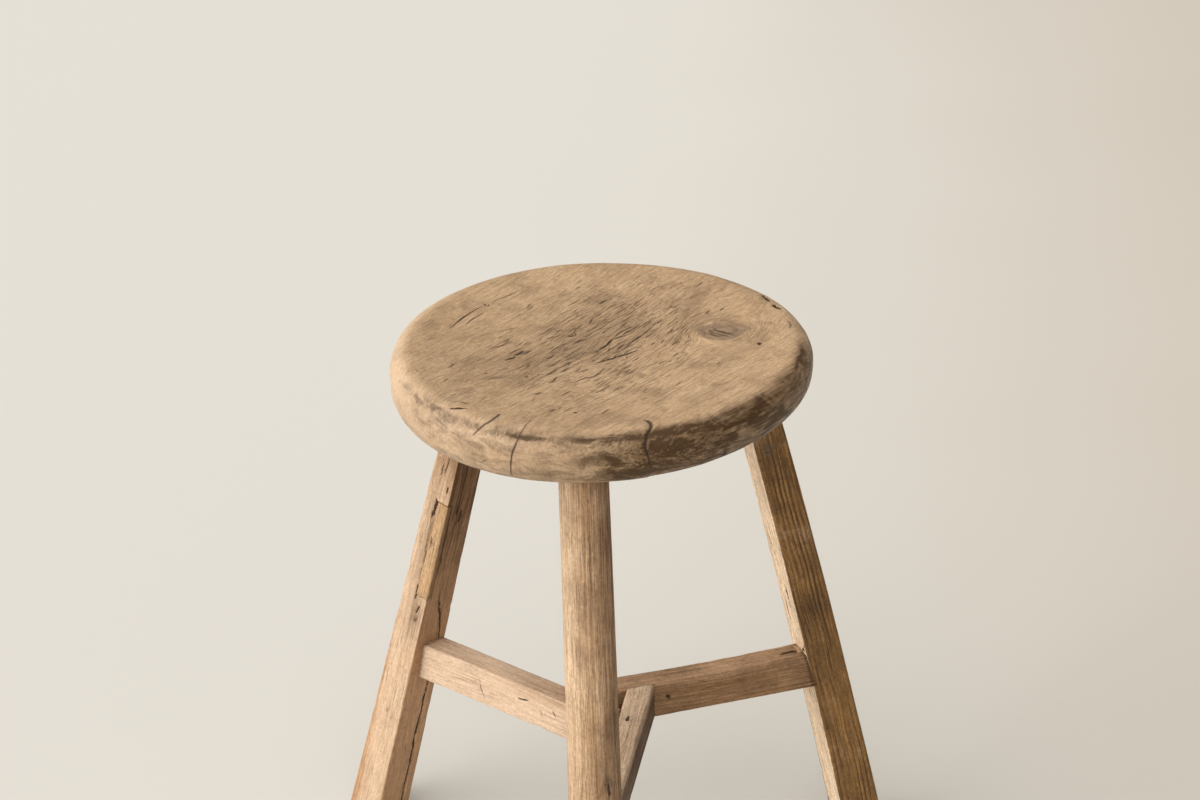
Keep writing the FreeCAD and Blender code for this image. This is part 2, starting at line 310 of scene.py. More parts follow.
# Cracks in the seat's top: their routes along and across the grain, and half width and depth.
TOP_CRACKS = [
    ([(-46, 111), (-27, 114), (-8, 117.5), (6, 116.5)], 0.55, 0.9),
    ([(4, 117), (8, 116)], 1.6, 2.0),
    ([(6, 116.5), (24, 114.5), (44, 111)], 0.35, 0.4),
    ([(-33, 106), (-18, 108.5), (-4, 109)], 0.45, 0.6),
    ([(-58, 44.5), (-50, 42.2), (-47, 42.7)], 0.85, 1.2),
    ([(-49, 42.8), (-35, 44)], 0.6, 0.8),
    ([(-50, 47), (-40, 48), (-30, 47)], 0.4, 0.5),
    ([(-51, 66), (-42, 63), (-32, 62)], 0.45, 0.5),
    ([(-40, 86), (-24, 80), (-7, 72)], 0.35, 0.4),
    ([(4, 34), (8, 32), (12, 31)], 0.8, 1.0),
    ([(10, 33), (28, 39)], 0.4, 0.4),
    ([(-22, -12), (0, -19), (18, -26)], 0.7, 0.9),
    ([(-8, -2), (20, 3), (34, -2)], 0.6, 0.8),
    ([(-2, -16), (28, -12), (60, -8)], 0.5, 0.7),
    ([(-60, -20), (-38, -26), (-20, -24)], 0.5, 0.6),
    ([(-148, 19), (-144, 10), (-141, 6)], 0.9, 1.2),
    ([(-137, 20), (-134, 12)], 0.5, 0.6),
    ([(140, -50), (137, -56), (132, -62)], 1.8, 2.4),
    ([(129, -68), (126, -78)], 2.2, 2.8),
    ([(112, -92), (108, -99), (100, -104)], 0.4, 0.4),
    ([(71, -97), (68, -100)], 1.3, 1.2),
    ([(-97, -56), (-99, -58)], 1.2, 1.0),
]
# Cracks on the seat's edge: routes of azimuth and height above the crest, in degrees and mm.
SIDE_CRACKS = [
    ([(-67.8, 3), (-70.5, 1.0), (-73.4, -3), (-74.4, -9), (-73.5, -22), (-73.1, -33)], 0.62, 2.0),
    ([(-115.5, 3.0), (-118.4, -2), (-121.4, -11)], 0.5, 0.8),
    ([(-105.5, 2), (-107.0, 0), (-107.8, -6), (-109.1, -18), (-110.2, -39)], 0.5, 0.9),
    ([(-116, -24), (-119, -30)], 0.35, 0.5),
    ([(-126, -8), (-124, -22), (-121, -28)], 0.25, 0.3),
    ([(-51.5, -26), (-50.6, -36)], 0.9, 1.4),
    ([(-88, -30), (-79, -31)], 0.3, 0.3),
]
CHECKS = 150              # short drying checks scattered over the seat's top


def seat_cracks(along, across, azimuth, reach, height):
    wander = noise(along / 8, across / 8, 0, 11)
    cracks = Cracks(along, across + wander)
    on_top = height > -9
    for route, half, deep in TOP_CRACKS:
        cracks.add(route, half, deep, on_top)
    rng = np.random.default_rng(41)
    for _ in range(CHECKS):
        place = rng.normal([2, 0], [58, 46])
        length, half = rng.uniform(3, 15), rng.uniform(0.14, 0.5)
        skew, kink = rng.normal(0, 0.16), rng.normal(0, 0.5)
        if np.hypot(*place) > 134 or np.hypot(place[0] - KNOT[0], place[1] - KNOT[1]) < KNOT[2]:
            continue
        route = [(place[0] - length / 2, place[1] - skew * length / 2),
                 (place[0], place[1] + kink),
                 (place[0] + length / 2, place[1] + skew * length / 2)]
        cracks.add(route, half, 1.1 * half, on_top)
    side_wander = 0.35 * noise(azimuth * 30, height / 5, 0, 12)
    side = Cracks(azimuth * SEAT_RADIUS + side_wander, height)
    for route, half, deep in SIDE_CRACKS:
        metric = [(math.radians(a) * SEAT_RADIUS, h) for a, h in route]
        side.add(metric, half, deep, reach > 0.84 * SEAT_RADIUS)
    closer = side.gap < cracks.gap
    for name in ("gap", "signed", "half"):
        setattr(cracks, name, np.where(closer, getattr(side, name), getattr(cracks, name)))
    cracks.depth = np.maximum(cracks.depth, side.depth)
    return cracks


# Stains on the seat: strength, place and half sizes. Those on the top lie along and across the
# grain; those on the rim lie by azimuth and height, and their half sizes are all in mm.
TOP_STAINS = [(0.34, (14, 22), (62, 34)), (0.22, (-50, 42), (26, 22))]
RIM_STAINS = [(0.45, (-38, -6), (8, 5)), (0.30, (-69, -14), (22, 7))]
FIGURE_AZIMUTH = -62      # where the rim cuts the growth rings into curls


def rim_shade(x, y, run, height, broad, rough, side_share):
    """Darkness on the rim: painted shade with darker wood on the right, where the rings curl;
    darker along the front; stains; and a line of painted shade under the front crest.
    """
    along, up = run - math.radians(FIGURE_AZIMUTH) * SEAT_RADIUS, height + 36
    curls = np.sin(np.hypot(along, 1.4 * up) / 1.05 + 2.4 * broad + 0.5 * rough)
    curls = curls * smooth(-4, 14, along) * smooth(104, 70, along) * smooth(-38, -26, height)
    curls = curls * smooth(-0.5, 0.5, rough + broad)
    # painted shade: the rim darkens on its right, the side turned away from the window, over
    # darker wood there
    right = towards(x, y, -42) / SEAT_RADIUS
    shaded_darker_side = smooth(0.60, 0.84, right + 0.05 * rough + 0.05 * broad)
    shade = side_share * shaded_darker_side * (0.74 - 0.26 * curls)
    for strength, (azimuth, level), reach in RIM_STAINS:
        place = (math.radians(azimuth) * SEAT_RADIUS, level)
        shade = shade + strength * side_share * bump_at(run, height, place, reach)
    # darker along the front of the rim
    front = towards(x, y, -105) / SEAT_RADIUS
    shade = shade + 0.20 * side_share * smooth(0.45, 0.95, front + 0.10 * broad)
    # painted shade: a narrow darker band just below the crest along the front, where the top turns
    # down
    crest_shade_line = np.exp(-((height + 4.5 + 1.5 * rough) / 2.0) ** 2) * smooth(0.5, 0.9, front)
    return shade + 0.38 * crest_shade_line * smooth(0.0, 0.4, side_share)


SEAT_COLUMNS = 672
SPLIT_AZIMUTH = -73.6     # of the long split in the edge, whose right side has dropped a little


def seat_piece():
    angle = np.linspace(-math.pi, math.pi, SEAT_COLUMNS, endpoint=False)
    reach, height = seat_profile(angle)
    turn = np.broadcast_to(angle, reach.shape)
    x, y = reach * np.cos(turn), reach * np.sin(turn)
    along, across = towards(x, y, GRAIN_AZIMUTH), towards(x, y, GRAIN_AZIMUTH + 90)
    grid = stack(x, y, height)
    normals = loop_normals(grid)

    cracks = seat_cracks(along, across, turn, reach, height)
    off_along, off_across = along - KNOT[0], across - KNOT[1]
    knot = np.hypot(towards(off_along, off_across, -GRAIN_AZIMUTH) / 1.25,
                    towards(off_along, off_across, 90 - GRAIN_AZIMUTH)) / KNOT[2]
    knot = knot + 0.10 * noise(x / 7, y / 7, 0, 23)
    top_share = smooth(-12, -8, height)
    swirl = np.exp(-(off_along / 50) ** 2 - (off_across / 34) ** 2) * top_share
    waves = 3.5 * noise(along / 24, across / 14, 0, 21) * swirl
    round_knot = 1.4 * KNOT[2] ** 2 / np.maximum(off_along ** 2 + off_across ** 2, KNOT[2] ** 2)
    ringed = across - off_across * np.clip(round_knot, 0, 1) * top_share + waves
    ringed = ringed + 2.2 * noise(along / 70, across / 40, height / 40, 22)
    grain_place = stack(along, ringed, height)

    ridges = layered(along / 38, ringed / 2.6, height / 5, 31)
    broad = layered(x / 55, y / 55, height / 30, 32)
    rough = layered(x / 9, y / 9, height / 9, 33)
    worn_top = smooth(1.0, 0.75, reach / SEAT_RADIUS) * top_share
    lift = 0.55 * broad + 0.14 * ridges * (0.35 + worn_top) + 0.12 * rough - cracks.depth
    knot_middle = bump_at(off_along, off_across, (0, 0), (8, 8))
    lift = lift - 0.5 * top_share * smooth(1.0, 0.4, knot) + 0.4 * top_share * knot_middle
    past_split = turn - math.radians(SPLIT_AZIMUTH)
    split_side = smooth(0.0, 0.02, past_split) * smooth(0.35, 0.0, turn + 1.28)
    lift = lift - 0.7 * split_side * smooth(0.86, 0.95, reach / SEAT_RADIUS)
    grid = grid + normals * lift[..., None]
    grid = grid + np.array([SEAT_CENTRE[0], SEAT_CENTRE[1], SEAT_TOP])

    side_share = smooth(0.90, 0.955, reach / SEAT_RADIUS + 0.012 * rough)
    run = turn * SEAT_RADIUS
    shade = rim_shade(x, y, run, height, broad, rough, side_share)
    shade = shade + stains(along, across, TOP_STAINS) * top_share
    # painted light: the rim is paler on its left, the side the window lights
    left = smooth(0.1, 0.9, -towards(x, y, 20) / SEAT_RADIUS)
    pale = left * smooth(0.86, 0.96, reach / SEAT_RADIUS) * 0.45
    worn = np.clip(1.1 * bump_at(along, across, (6, -4), (108, 78)), 0.1, 1) * top_share
    knot = np.where(top_share > 0.5, knot, NO_KNOT)
    fields = wood_fields(grain_place, cracks, shade - 0.14 * broad, pale, knot)
    fields |= {"polished": side_share, "rim": stack(run, height, reach), "worn": worn}
    finish_piece(tube("seat_board", grid, fields), "seat", "seat_wood")


# ---- legs ----
def slice_points(node, height):
    """Where a CAD node's edges cross a level plane."""
    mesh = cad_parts[node].data
    points = node_points(node)
    pairs = np.array([edge.vertices[:] for edge in mesh.edges])
    start, end = points[pairs[:, 0]], points[pairs[:, 1]]
    below, above = start[:, 2] - height, end[:, 2] - height
    cut = below * above < 0
    share = (below[cut] / (below[cut] - above[cut]))[:, None]
    return start[cut] + share * (end[cut] - start[cut])


class LegLine:
    """A leg's centre and half sizes at any height, read from its CAD node."""

    def __init__(self, node):
        self.node = node
        self.axes = np.array([unit(LEG_TURN[node]), unit(LEG_TURN[node] + 90)])
        self.heights = (20.0, 430.0)     # two levels that cut only the plain shaft
        spans = []
        for height in self.heights:
            spread = slice_points(node, height)[:, :2] @ self.axes.T
            low, high = spread.min(0), spread.max(0)
            spans.append(np.concatenate([(low + high) / 2, (high - low) / 2]))
        self.spans = np.array(spans)

    def at(self, height):
        share = (height - self.heights[0]) / (self.heights[1] - self.heights[0])
        share = np.asarray(share)[..., None]
        values = self.spans[0] + share * (self.spans[1] - self.spans[0])
        centre = values[..., :2] @ self.axes
        bow = LEG_BOW[self.node] * np.sin(np.pi * np.clip(height, 0, LEG_LENGTH) / LEG_LENGTH)
        centre = centre + bow[..., None] * np.array(BOW_WAY)
        return centre, values[..., 2], values[..., 3]


LEGS = {node: LegLine(node) for node in LEG_TURN}


def rounded_loop(half_u, half_w, radii, flat_points, arc_points):
    """Points round a rectangle with a different radius at each corner, row by row, starting
    at the corner (-u, -w). Returns them and their distance round from that corner."""
    arcs = []
    for number, (sign_u, sign_w) in enumerate([(-1, -1), (1, -1), (1, 1), (-1, 1)]):
        radius = radii[number]
        centre_u, centre_w = sign_u * (half_u - radius), sign_w * (half_w - radius)
        turns = math.pi + number * math.pi / 2 + np.linspace(0, math.pi / 2, arc_points)
        arcs.append([(centre_u + radius * math.cos(turn), centre_w + radius * math.sin(turn))
                     for turn in turns])
    places = []
    for number, arc in enumerate(arcs):
        last, following = arc[-1], arcs[(number + 1) % 4][0]
        places += arc
        for share in np.linspace(0, 1, flat_points[number % 2] + 2)[1:-1]:
            places.append([a + share * (b - a) for a, b in zip(last, following)])
    u, w = (stack(*axis) for axis in zip(*places))
    steps = np.hypot(np.diff(u, axis=-1), np.diff(w, axis=-1))
    around = np.concatenate([0 * u[..., :1], np.cumsum(steps, -1)], -1)
    around = around - around[..., arc_points // 2][..., None]
    total = 4 * (half_u + half_w)[..., None]
    around = np.where(around > total / 2, around - total, around)
    return u, w, around


FOOT_WEAR = 1.6           # how much smaller a leg is at the floor
FOOT_WEAR_HEIGHT = 3.0
LEG_ROW_STEP = 1.3


def foot_wear(height):
    return FOOT_WEAR * np.clip(1 - height / FOOT_WEAR_HEIGHT, 0, 1) ** 2


def heights_of(node):
    low, _ = corners_mm(node)
    top = SEAT_TOP - SEAT_THICKNESS + LEG_INTO_SEAT
    rows = int((top - low[2]) / LEG_ROW_STEP)
    return low[2] + (top - low[2]) * np.linspace(0, 1, rows)


# Cracks on the legs: routes of height and distance round from the front arris (negative on
# the outer face), half width and depth.
LEG_CRACKS = {
    "left_leg": [
        ([(415, 8), (360, 11.5), (323, 11.8), (301, 11), (272, 10.9), (244, 13.4)], 0.42, 0.9),
        ([(326, 11.6), (314, 11.2)], 1.0, 1.0),
        ([(244, 13.4), (230, 14.6), (214, 19), (196, 22.7), (180, 24)], 0.6, 1.4),
        ([(172, 24), (139, 23.6), (92, 23), (22, 25), (-14, 26)], 0.85, 2.4),
        ([(446, -2.4), (420, -2.0), (396, -1.6)], 0.6, 1.2),
        ([(330, 4.8), (314, 5.3), (274, 5.6), (234, 4.6)], 0.4, 0.6),
        ([(244, -16.6), (262, -17.4), (290, -17.9), (312, -18.2)], 0.32, 0.6),
        ([(331, -18.0), (320, -18.5), (309, -18.2)], 0.8, 1.6),
        ([(246, -17.0), (239, -16.6), (232, -15.4)], 0.9, 1.6),
        ([(228, -9), (222, -11), (219, -13)], 0.9, 1.6),
        ([(243, -13.5), (234, -16.5), (230, -16)], 0.7, 1.2),
        ([(372, -12), (352, -15)], 0.5, 0.6),
        ([(345, -8), (338, -7)], 0.9, 0.8),
        ([(364, -18), (350, -19)], 0.5, 0.6),
        ([(118, -20), (112, -21)], 0.4, 0.3),
        ([(86, 14), (62, 15.5)], 0.3, 0.3),
        ([(318, 16), (306, 15.4)], 1.1, 1.0),
        ([(255, 19), (215, 21)], 0.3, 0.3),
    ],
    "right_leg": [
        ([(296, -25), (290, -25.5), (283, -24)], 1.5, 3.6),
        ([(284, -24), (276, -20)], 0.5, 0.8),
        ([(252, -15), (242, -15.5), (228, -14.5)], 1.0, 1.4),
        ([(242, -21), (206, -23)], 0.5, 0.6),
        ([(197, -1.5), (191, -6), (187, -12)], 1.2, 1.6),
        ([(420, 17), (366, 19), (318, 20)], 0.3, 0.3),
        ([(214, 9), (182, 10), (150, 8.5)], 0.25, 0.3),
        ([(120, 22), (76, 21)], 0.25, 0.3),
    ],
    "front_leg": [
        ([(430, 3), (390, 4), (362, 3.4)], 0.28, 0.3),
        ([(352, -14), (320, -12), (300, -13)], 0.26, 0.3),
        ([(262, 10), (230, 12), (206, 11)], 0.28, 0.3),
        ([(172, -8), (140, -6)], 0.24, 0.3),
        ([(300, 20), (262, 21), (234, 19)], 0.4, 0.5),
        ([(384, 24), (350, 26)], 0.4, 0.5),
        ([(232, 12), (222, 13)], 0.9, 0.7),
    ],
}


def crack_fields(along, around, cracks, seed):
    wander = 0.8 * noise(along / 14, around / 12, 0, seed)
    wander = wander + 0.3 * noise(along / 4, around / 6, 0, seed + 1)
    found = Cracks(along, around + wander)
    for route, half, deep in cracks:
        found.add(route, half, deep)
    return found


def in_patch(height, around):
    """1 where the left leg is cut away for the repair strip."""
    inside = 1
    for limit, value, way in ((PATCH_HEIGHTS[0], height, 1), (PATCH_HEIGHTS[1], height, -1),
                              (-PATCH_ON_FRONT, around, 1), (PATCH_ON_SIDE, around, -1)):
        inside = inside * smooth(limit - PATCH_EDGE * way, limit + PATCH_EDGE * way, value)
    return inside


def corner_wear(height, seed, base):
    """The four corner radii of a bar along its length: worn, with a few knocked spots."""
    radii = []
    rng = np.random.default_rng(seed)
    for corner in range(4):
        radius = base * (1 + 0.35 * noise(height / 42, 3.1 * corner, 0, seed + corner))
        for _ in range(3):
            knock, reach = rng.uniform(height.min(), height.max()), rng.uniform(3, 8)
            radius = radius + rng.uniform(0.3, 1.0) * np.exp(-((height - knock) / reach) ** 2)
        radii.append(radius)
    return radii


def squared_leg_surface(node, height, corner, seed, swell=0.0):
    """Rows of loops of points down a squared leg, with heights and distances round."""
    line = LEGS[node]
    centre, half_u, half_w = line.at(height)
    shrink = foot_wear(height)
    half_u, half_w = half_u - shrink + swell, half_w - shrink + swell
    radii = corner_wear(height, seed, corner)
    u, w, around = rounded_loop(half_u, half_w, radii, (17, 19), 6)
    plan = u[..., None] * line.axes[0] + w[..., None] * line.axes[1] + centre[:, None, :]
    level = np.broadcast_to(height[:, None], u.shape)
    grid = np.concatenate([plan, level[..., None]], -1)
    return grid, u, w, around, level


# Relief of the wood: grain sizes across, across and along, and strength.
SQUARED_LEG_RELIEF = [((30, 30, 70), 0.26), ((2.4, 2.4, 60), 0.10), ((6, 6, 8), 0.08)]
ROUND_LEG_RELIEF = [((2.2, 2.2, 55), 0.13), ((6, 6, 9), 0.08)]
# Stains on the squared legs: strength, place as for the cracks, and half sizes.
LEG_STAINS = {"left_leg": [(0.6, (218, -12), (22, 9)), (0.6, (390, -8), (34, 12)),
                           (0.4, (290, -21), (60, 5))],
              "right_leg": [(0.5, (232, 14), (14, 22))]}
# Knots on the legs: height, distance round from the front arris, and radius.
LEG_KNOTS = {"left_leg": [(214, -11, 3.4), (388, -14, 6.0)], "right_leg": [(385, 10, 5.0)],
             "front_leg": [(232, 12, 4.5), (118, -14, 3.5)]}


def leg_knots(node, level, around, stretch):
    """Distance from the nearest knot, in its radii, for knots stretched along the leg."""
    nearest = NO_KNOT
    for at_height, at_round, radius in LEG_KNOTS[node]:
        spot = np.hypot((level - at_height) / stretch, around - at_round) / radius
        nearest = np.minimum(nearest, spot)
    return nearest


def squared_leg(node, tones, corner, seed):
    height = heights_of(node)
    grid, u, w, around, level = squared_leg_surface(node, height, corner, seed)
    normals = loop_normals(grid)
    normals[..., 2] = 0
    cracks = crack_fields(level, around, LEG_CRACKS[node], seed)
    lift = relief(u, w, level, seed + 5, SQUARED_LEG_RELIEF) - cracks.depth
    if node == "left_leg":
        patch = in_patch(level, around)
        lift = lift * (1 - patch) - PATCH_REBATE * patch
    fade = smooth(0.0, 1.5, level)
    grid = grid + normals * (lift * fade)[..., None]
    bend = 2.5 * noise(0, 0, level / 120, seed + 8)
    bend = bend + 1.2 * noise(u / 20, w / 20, level / 34, seed + 9)
    grain_place = stack(level, u + bend, w + 0.6 * bend)
    shade, pale = tones(level, around)
    shade = shade + stains(level, around, LEG_STAINS[node])
    fields = wood_fields(grain_place, cracks, shade, pale, leg_knots(node, level, around, 1.4))
    finish_piece(tube(node + "_wood", grid, fields), node, node + "_wood")


def left_leg_tones(level, around):
    front = (around < 0) & (around > -33)
    inner = (around >= 0) & (around < 33)
    top = smooth(300, 400, level)
    # painted light on the front face, which faces the window; painted shade on the inner face,
    # turned away and deepening under the seat; the other faces darker towards the top
    shade = np.where(inner, 0.05 + 0.82 * smooth(190, 330, level), 0.3 * top)
    pale = np.where(front, 0.7 - 0.5 * top, 0.0)
    return shade, pale


def right_leg_tones(level, around):
    front = (around < 0) & (around > -33)
    # painted light: the front face, facing the window, is fully pale; painted shade on the other
    # faces, deeper towards the seat
    shade = np.where(front, 0.0, 0.22 + 0.25 * smooth(160, 420, level))
    pale = np.where(front, 1.0, 0.0)
    return shade, pale


def front_leg_piece():
    node = "front_leg"
    height = heights_of(node)
    line = LEGS[node]
    centre, half_u, half_w = line.at(height)
    angle = np.linspace(0, 2 * math.pi, 100, endpoint=False) - math.pi / 2
    level = np.broadcast_to(height[:, None], (len(height), len(angle)))
    turn = np.broadcast_to(angle, level.shape)
    facets = layered(1.7 * np.cos(turn), 1.7 * np.sin(turn), level / 160, 61)
    size = 1 + 0.022 * facets
    shrink = foot_wear(height)
    x = (half_u - shrink)[:, None] * np.cos(turn) * size
    y = (half_w - shrink)[:, None] * np.sin(turn) * size
    grid = stack(x + centre[:, :1], y + centre[:, 1:], level)
    normals = loop_normals(grid)
    normals[..., 2] = 0
    around = (turn + math.pi / 2) * half_u[:, None]
    around = np.where(turn > math.pi / 2, around - 2 * math.pi * half_u[:, None], around)
    cracks = crack_fields(level, around, LEG_CRACKS[node], 62)
    lift = relief(x, y, level, 63, ROUND_LEG_RELIEF) - cracks.depth
    grid = grid + normals * (lift * smooth(0.0, 1.5, level))[..., None]
    bend = 3.0 * noise(0, 0, level / 110, 65)
    grain_place = stack(level, x + bend, y)
    # painted shade on the right side, away from the window, and under the seat at the top; painted
    # light on the left side
    shade = 0.08 + 0.2 * smooth(330, 430, level) + 0.42 * smooth(0.3, 0.95, np.cos(turn))
    pale = smooth(-0.1, 0.8, -np.cos(turn)) * (0.35 + 0.35 * smooth(200, 330, level))
    fields = wood_fields(grain_place, cracks, shade, pale, leg_knots(node, level, around, 1.5))
    finish_piece(tube(node + "_wood", grid, fields), node, node + "_wood")


def patch_piece():
    """The repair strip: the leg's own corner, let in and standing slightly proud."""
    height = np.linspace(PATCH_HEIGHTS[0] + 0.5, PATCH_HEIGHTS[1] - 0.5, 72)
    grid, _, _, around, _ = squared_leg_surface("left_leg", height, 1.3, 71, PATCH_PROUD)
    columns = np.argsort(around[0])
    keep = [c for c in columns
            if -PATCH_ON_FRONT + 0.5 < around[0, c] < PATCH_ON_SIDE - 0.4]
    outer = grid[:, keep]
    middle = LEGS["left_leg"].at(height)[0]
    inward = np.concatenate([middle[:, None, :] - outer[..., :2], 0 * outer[..., :1]], -1)
    inward = inward / np.linalg.norm(inward, axis=-1, keepdims=True)
    x, y, z = np.moveaxis(outer, -1, 0)
    rough = noise(x / 5, y / 5, z / 5, 72) + 0.5 * noise(x / 1.7, y / 1.7, z / 1.7, 73)
    outer = outer - inward * (0.14 * rough[..., None])
    loop = np.concatenate([outer, (outer + inward * PATCH_THICKNESS)[:, ::-1]], 1)
    place = np.concatenate([around[:, keep], around[:, keep][:, ::-1]], 1)
    rows = np.broadcast_to(height[:, None], place.shape)
    ends = 1.2 * noise(place / 4, 0, 0, 74)
    tip = smooth(PATCH_HEIGHTS[0] + 6, PATCH_HEIGHTS[0], rows)
    loop[..., 2] = loop[..., 2] + ends * tip
    grain_place = stack(rows, place, 0)
    cracks = crack_fields(rows, place, [([(306, -9), (262, -8)], 0.3, 0.2),
                                        ([(296, -13), (284, -12.5)], 0.5, 0.3)], 75)
    # painted shade on the strip's side part, as on the leg's shaded inner face
    fields = wood_fields(grain_place, cracks, 0.6 * smooth(-0.5, 1.0, place), 0)
    finish_piece(tube("left_leg_repair_strip", loop, fields), "left_leg_patch", "patch_wood")


# ---- rails ----
class RailLine:
    """A rail's heading, side and level, read from its CAD node."""

    def __init__(self, node):
        self.heading = unit(RAIL_HEADING[node])
        self.side = unit(RAIL_HEADING[node] + 90)
        points = node_points(node)
        sideways = points[:, :2] @ self.side
        self.aside = (sideways.min() + sideways.max()) / 2
        self.half = (sideways.max() - sideways.min()) / 2
        self.low, self.top = points[:, 2].min(), points[:, 2].max()
        self.start = (points[:, :2] @ self.heading).min()


RAILS = {node: RailLine(node) for node in RAIL_HEADING}


def shoulder(node, sideways):
    """How far along its heading a rail runs before it meets its neighbour's side."""
    rail, other = RAILS[node], RAILS[RAIL_MEETS[node]]
    rate = rail.heading @ other.side
    near_side = other.aside - math.copysign(other.half, rate)
    foot = rail.side @ other.side
    return (near_side - sideways * foot) / rate


# Cracks on the rails: routes of distance from the leg's face and distance round from the
# low outer edge, half width and depth. The outer face comes first, then the top.
RAIL_CRACKS = {
    "left_rail": [([(30, 14), (60, 16)], 0.25, 0.2), ([(62, 26), (66, 15), (74, 4)], 0.35, 0.3),
                  ([(104, 20), (116, 22)], 0.6, 0.5), ([(140, 24), (146, 16)], 0.4, 0.4),
                  ([(128, 20), (133, 9)], 0.3, 0.3), ([(90, 42), (150, 43)], 0.3, 0.3)],
    "right_rail": [([(120, 18), (123, 17)], 1.7, 0.8), ([(60, 20), (96, 18)], 0.3, 0.2),
                   ([(0, 40), (9, 42), (20, 41)], 1.0, 1.4), ([(70, 44), (120, 43)], 0.3, 0.3),
                   ([(90, 12), (130, 13)], 0.25, 0.2), ([(86, 24), (92, 28)], 0.4, 0.3)],
    "front_rail": [([(138, 41), (146, 42)], 1.0, 0.9), ([(100, 44), (150, 45)], 0.3, 0.3),
                   ([(100, 22), (150, 20)], 0.3, 0.3)],
}


ROUND_LEG_FACE = 12.0     # from the round leg's axis to where its rail begins


def leg_face(node, sideways, level):
    """How far along its heading a rail leaves its leg, at each place across its end."""
    rail, leg = RAILS[node], LEGS[RAIL_LEG[node]]
    centre, half_u, half_w = leg.at(level)
    if RAIL_LEG[node] == "front_leg":
        return np.sum(centre * rail.heading, -1) + ROUND_LEG_FACE
    normal, half = (-leg.axes[1], half_w) if node == "left_rail" else (-leg.axes[0], half_u)
    reach = half - sideways * (rail.side @ normal) + np.sum(centre * normal, -1)
    return reach / (rail.heading @ normal)


# Relief of the rails: grain sizes along, down and across, and strength.
RAIL_RELIEF = [((60, 25, 25), 0.18), ((45, 2.2, 2.2), 0.09), ((7, 5, 5), 0.07)]
RAIL_ROWS = 170
RAIL_LENGTH = 190.0       # about, for the wear of the corners
RAIL_INTO_LEG = 3.0
RAIL_INTO_NEIGHBOUR = 0.2


def rail_piece(node, tones, corner, sag, seed):
    """A rail from inside its leg to its neighbour's side, with a top that sags a little."""
    rail = RAILS[node]
    share = np.linspace(0, 1, RAIL_ROWS)
    half_tall = (rail.top - rail.low) / 2
    middle = (rail.top + rail.low) / 2
    radii = corner_wear(share * RAIL_LENGTH, seed, corner)
    # The loop's first axis runs down the rail and its second towards its outer face.
    down, out, _ = rounded_loop(half_tall + 0 * share, rail.half + 0 * share, radii, (20, 13), 5)
    sideways = rail.aside + OUTWARD_SIGN[node] * out
    begin = leg_face(node, sideways, middle - down)
    end = shoulder(node, sideways) + RAIL_INTO_NEIGHBOUR
    along = begin - RAIL_INTO_LEG + share[:, None] * (end - begin + RAIL_INTO_LEG)
    shown = along - begin
    on_top = smooth(-half_tall * 0.3, -half_tall, down)
    dip = sag * np.exp(-((share - 0.45) / 0.3) ** 2)[:, None] * on_top
    level = middle - down - dip
    plan = along[..., None] * rail.heading + sideways[..., None] * rail.side
    grid = np.concatenate([plan, level[..., None]], -1)
    normals = loop_normals(grid)
    place = np.where(out > 0, half_tall - down, 2 * half_tall + rail.half - out)
    place = np.where(on_top > 0.9, 2 * half_tall + rail.half - out, place)
    place = np.where((out <= 0) & (on_top <= 0.9), 90.0, place)
    cracks = crack_fields(shown, place, RAIL_CRACKS[node], seed)
    lift = relief(shown, down, out, seed + 5, RAIL_RELIEF) - cracks.depth
    fade = smooth(0.0, 2.5, end - along)
    grid = grid + normals * (lift * fade)[..., None]
    bend = 2.0 * noise(shown / 80, 0, 0, seed + 8)
    grain_place = stack(shown, down + bend, out + 0.5 * bend)
    shade, pale = tones(on_top, shown)
    shade = shade + 0.6 * smooth(2.6, 0.6, shown) + 0.5 * smooth(2.2, 0.6, end - along)
    fields = wood_fields(grain_place, cracks, shade, pale)
    finish_piece(tube(node + "_wood", grid, fields), node, node + "_wood")


def left_rail_tones(on_top, shown):
    inner_end = on_top * smooth(50, 160, shown)
    return 0.34 * inner_end, 0.8 - 0.5 * inner_end


def right_rail_tones(on_top, shown):
    # painted shade on the front face, turned from the window, and painted light on the top; also
    # darker towards the leg end
    return 0.26 - 0.14 * on_top + 0.3 * smooth(34, 0, shown), 0.3 * on_top


def front_rail_tones(on_top, _):
    # painted shade on the side faces, turned from the window; painted light on the top
    return 0.95 * (1 - on_top) + 0.05, 0.6 * on_top


def slip_piece(rail_name, seed):
    """A split slip of wood: the CAD shim's wedge, with a torn outer end."""
    rail = RAILS[rail_name]
    points = node_points(rail_name + "_shim")
    along = points[:, :2] @ rail.heading
    start, end = along.min(), along.max()
    low, top = points[:, 2].min(), points[:, 2].max()
    share = np.linspace(0, 1, 26)
    half_tall = 0.5 * (0.35 + 0.65 * share) * (top - low)
    half_wide = 4.4 + 0.3 * share
    across, tall, _ = rounded_loop(half_tall, half_wide, [0.3 + 0 * share] * 4, (5, 12), 3)
    torn = 1.6 * noise(tall / 2.5, across, 0, seed)
    run = start + share[:, None] * (end - start - 1.6 + torn)
    sideways = rail.aside + tall
    level = low + half_tall[:, None] - across + 0.05
    plan = run[..., None] * rail.heading + sideways[..., None] * rail.side
    grid = np.concatenate([plan, level[..., None]], -1)
    fields = wood_fields(stack(run, sideways, level), Cracks(run, level), 0.15, 0.3)
    finish_piece(tube(rail_name + "_slip", grid, fields), rail_name + "_shim", "shim_wood")


